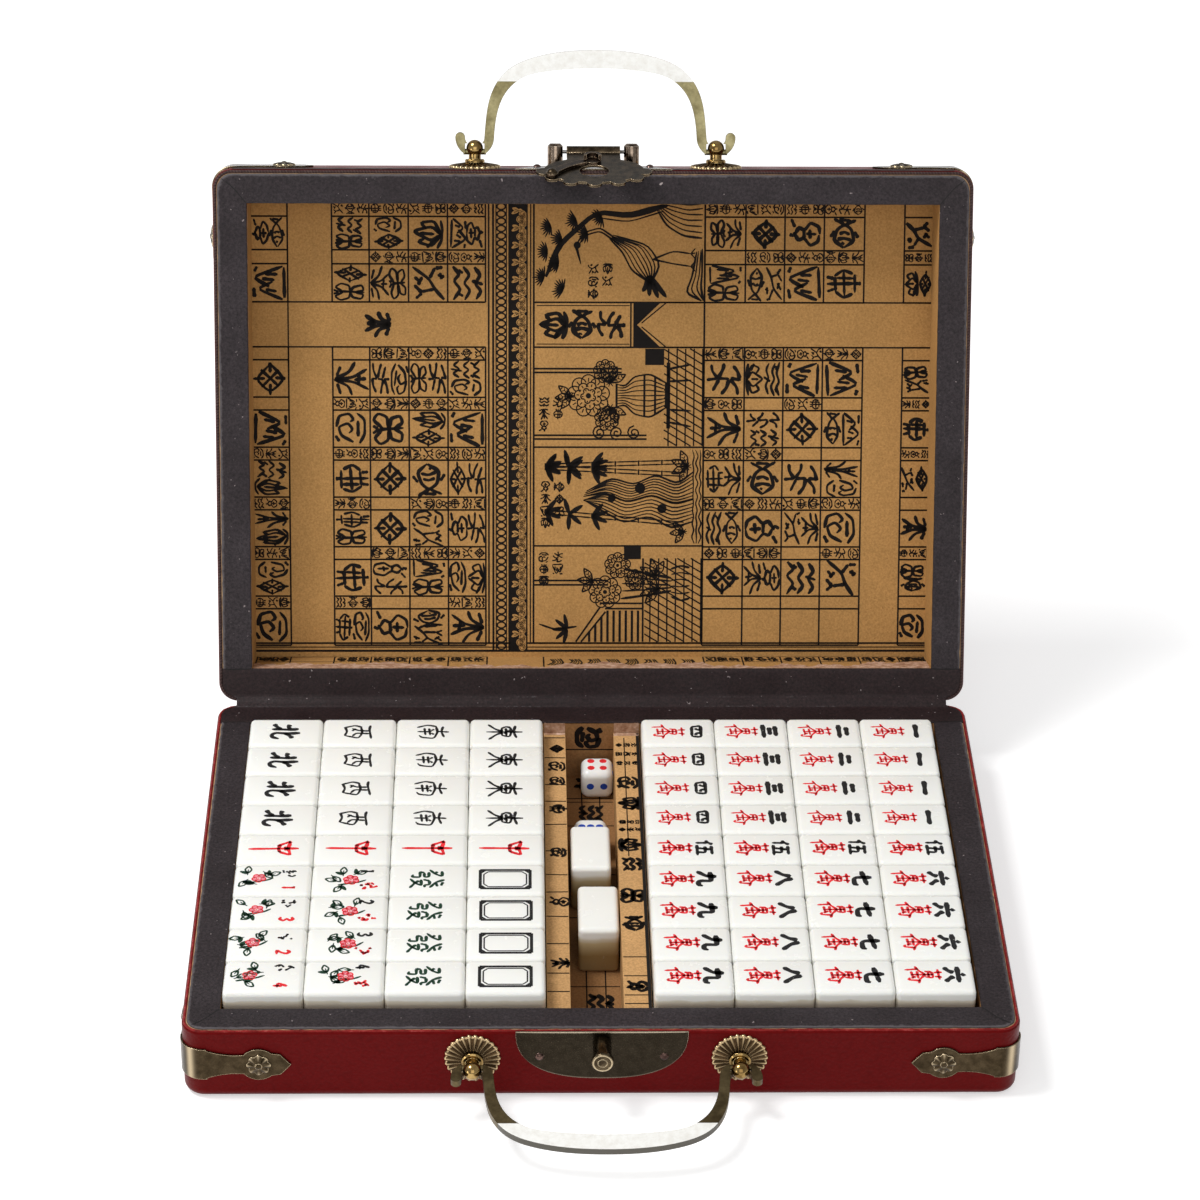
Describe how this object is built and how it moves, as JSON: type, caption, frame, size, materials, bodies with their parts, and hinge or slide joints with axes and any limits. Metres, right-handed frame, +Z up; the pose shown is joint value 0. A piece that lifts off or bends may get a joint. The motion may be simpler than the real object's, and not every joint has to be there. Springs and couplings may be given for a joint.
{
  "type": "mahjong case",
  "caption": "Open leather-covered mahjong case with hinged papered lid, brass hardware and carry bails, holding two blocks of tiles beside a channel with dice and spare tiles.",
  "frame": {"origin": "centre of the base's underside", "axes": "+X to the right, +Y to the hinge at the back, +Z up; the handle and latch of the base face -Y"},
  "size_m": [0.2388, 0.2876, 0.2102],
  "materials": {
    "carcass_wood": "bare softwood",
    "red_leather": "aged, semi-gloss",
    "edge_leather": "rough, matt",
    "printed_paper": "aged print, matt",
    "papered_wood": "covered with aged printed paper",
    "dark_bronze": "dark patina",
    "bronze": "brown patina, rubbed edges",
    "polished_brass": "rubbed bright",
    "bail_brass": "olive patina, rubbed grip",
    "hinge_brass": "dull",
    "screw_steel": "dull",
    "tile": "ivory-like, satin",
    "die": "ivory-like, satin"
  },
  "bodies": {
    "base": {"base_board": "carcass_wood", "base_side_leather": "red_leather", "base_flat_leather": "red_leather", "base_band_front": "edge_leather", "base_band_left": "edge_leather", "base_band_right": "edge_leather", "hinge_strip_base": "edge_leather", "base_lining": "printed_paper", "divider_left": "papered_wood", "divider_right": "papered_wood", "base_latch_plate": "dark_bronze", "base_plate_nails": "dark_bronze", "latch_stud": "dark_bronze", "base_rosettes": "bronze", "base_strap_left": "bronze", "base_strap_right": "bronze", "base_strap_nails": "bronze", "base_handle_posts": "polished_brass", "hinge_leaves_base": "hinge_brass", "hinge_pins": "hinge_brass", "hinge_screws_base": "screw_steel"},
    "lid": {"lid_board": "carcass_wood", "lid_side_leather": "red_leather", "lid_flat_leather": "red_leather", "lid_band_front": "edge_leather", "lid_band_left": "edge_leather", "lid_band_right": "edge_leather", "hinge_strip_lid": "edge_leather", "lid_lining": "printed_paper", "lid_latch_plate": "dark_bronze", "lid_plate_nails": "dark_bronze", "lid_rosettes": "bronze", "lid_strap_left": "bronze", "lid_strap_right": "bronze", "lid_strap_nails": "bronze", "lid_handle_posts": "polished_brass", "hasp_posts": "polished_brass", "hinge_leaves_lid": "hinge_brass", "hinge_screws_lid": "screw_steel", "hasp_pin": "screw_steel"},
    "base_bail": {"base_bail": "bail_brass"},
    "lid_bail": {"lid_bail": "bail_brass"},
    "hasp": {"hasp_flap": "bail_brass", "lever_rivet": "bail_brass"},
    "swing_lever": {"swing_lever": "bronze"},
    "lower_tiles_left": {"lower_tiles_left": "tile"},
    "tile_column_left_1": {"tile_column_left_1": "tile"},
    "tile_column_left_2": {"tile_column_left_2": "tile"},
    "tile_column_left_3": {"tile_column_left_3": "tile"},
    "tile_column_left_4": {"tile_column_left_4": "tile"},
    "lower_tiles_right": {"lower_tiles_right": "tile"},
    "tile_column_right_1": {"tile_column_right_1": "tile"},
    "tile_column_right_2": {"tile_column_right_2": "tile"},
    "tile_column_right_3": {"tile_column_right_3": "tile"},
    "tile_column_right_4": {"tile_column_right_4": "tile"},
    "blank_tile_back": {"blank_tile_back": "tile"},
    "blank_tile_front": {"blank_tile_front": "tile"},
    "die_back": {"die_back": "die"},
    "die_front": {"die_front": "die"}
  },
  "joints": [
    {"name": "lid_hinge", "type": "hinge", "parent": "base", "child": "lid", "pos_m": [0, 0.08392, 0.0236], "axis": [-1, 0, 0], "range_deg": [-111.4, 0]},
    {"name": "base_bail_pivot", "type": "hinge", "parent": "base", "child": "base_bail", "pos_m": [0.0012, -0.08847, 0.0142], "axis": [-1, 0, 0], "range_deg": [-80, 80]},
    {"name": "lid_bail_pivot", "type": "hinge", "parent": "lid", "child": "lid_bail", "pos_m": [0.0006, 0.15558, 0.18068], "axis": [1, 0, 0], "range_deg": [-90, 90]},
    {"name": "hasp_swing", "type": "hinge", "parent": "lid", "child": "hasp", "pos_m": [0, 0.15759, 0.17979], "axis": [1, 0, 0], "range_deg": [-98, 0]},
    {"name": "lever_swing", "type": "hinge", "parent": "hasp", "child": "swing_lever", "pos_m": [-0.013, 0.138, 0.18047], "axis": [0, 0.0349, 0.9994], "range_deg": [-20, 20]},
    {"name": "lift_lower_left", "type": "slide", "parent": "base", "child": "lower_tiles_left", "axis": [0, 0, 1], "range_m": [0, 0.03]},
    {"name": "lift_column_left_1", "type": "slide", "parent": "lower_tiles_left", "child": "tile_column_left_1", "axis": [0, 0, 1], "range_m": [0, 0.03]},
    {"name": "lift_column_left_2", "type": "slide", "parent": "lower_tiles_left", "child": "tile_column_left_2", "axis": [0, 0, 1], "range_m": [0, 0.03]},
    {"name": "lift_column_left_3", "type": "slide", "parent": "lower_tiles_left", "child": "tile_column_left_3", "axis": [0, 0, 1], "range_m": [0, 0.03]},
    {"name": "lift_column_left_4", "type": "slide", "parent": "lower_tiles_left", "child": "tile_column_left_4", "axis": [0, 0, 1], "range_m": [0, 0.03]},
    {"name": "lift_lower_right", "type": "slide", "parent": "base", "child": "lower_tiles_right", "axis": [0, 0, 1], "range_m": [0, 0.03]},
    {"name": "lift_column_right_1", "type": "slide", "parent": "lower_tiles_right", "child": "tile_column_right_1", "axis": [0, 0, 1], "range_m": [0, 0.03]},
    {"name": "lift_column_right_2", "type": "slide", "parent": "lower_tiles_right", "child": "tile_column_right_2", "axis": [0, 0, 1], "range_m": [0, 0.03]},
    {"name": "lift_column_right_3", "type": "slide", "parent": "lower_tiles_right", "child": "tile_column_right_3", "axis": [0, 0, 1], "range_m": [0, 0.03]},
    {"name": "lift_column_right_4", "type": "slide", "parent": "lower_tiles_right", "child": "tile_column_right_4", "axis": [0, 0, 1], "range_m": [0, 0.03]},
    {"name": "lift_blank_tile_back", "type": "slide", "parent": "base", "child": "blank_tile_back", "axis": [0, 0, 1], "range_m": [0, 0.03]},
    {"name": "lift_blank_tile_front", "type": "slide", "parent": "base", "child": "blank_tile_front", "axis": [0, 0, 1], "range_m": [0, 0.03]},
    {"name": "lift_die_back", "type": "slide", "parent": "base", "child": "die_back", "axis": [0, 0, 1], "range_m": [0, 0.03]},
    {"name": "lift_die_front", "type": "slide", "parent": "base", "child": "die_front", "axis": [0, 0, 1], "range_m": [0, 0.03]}
  ],
  "couplings": [
    {"joint": "hasp_swing", "follows": "lid_hinge", "ratio": 0.404}
  ]
}
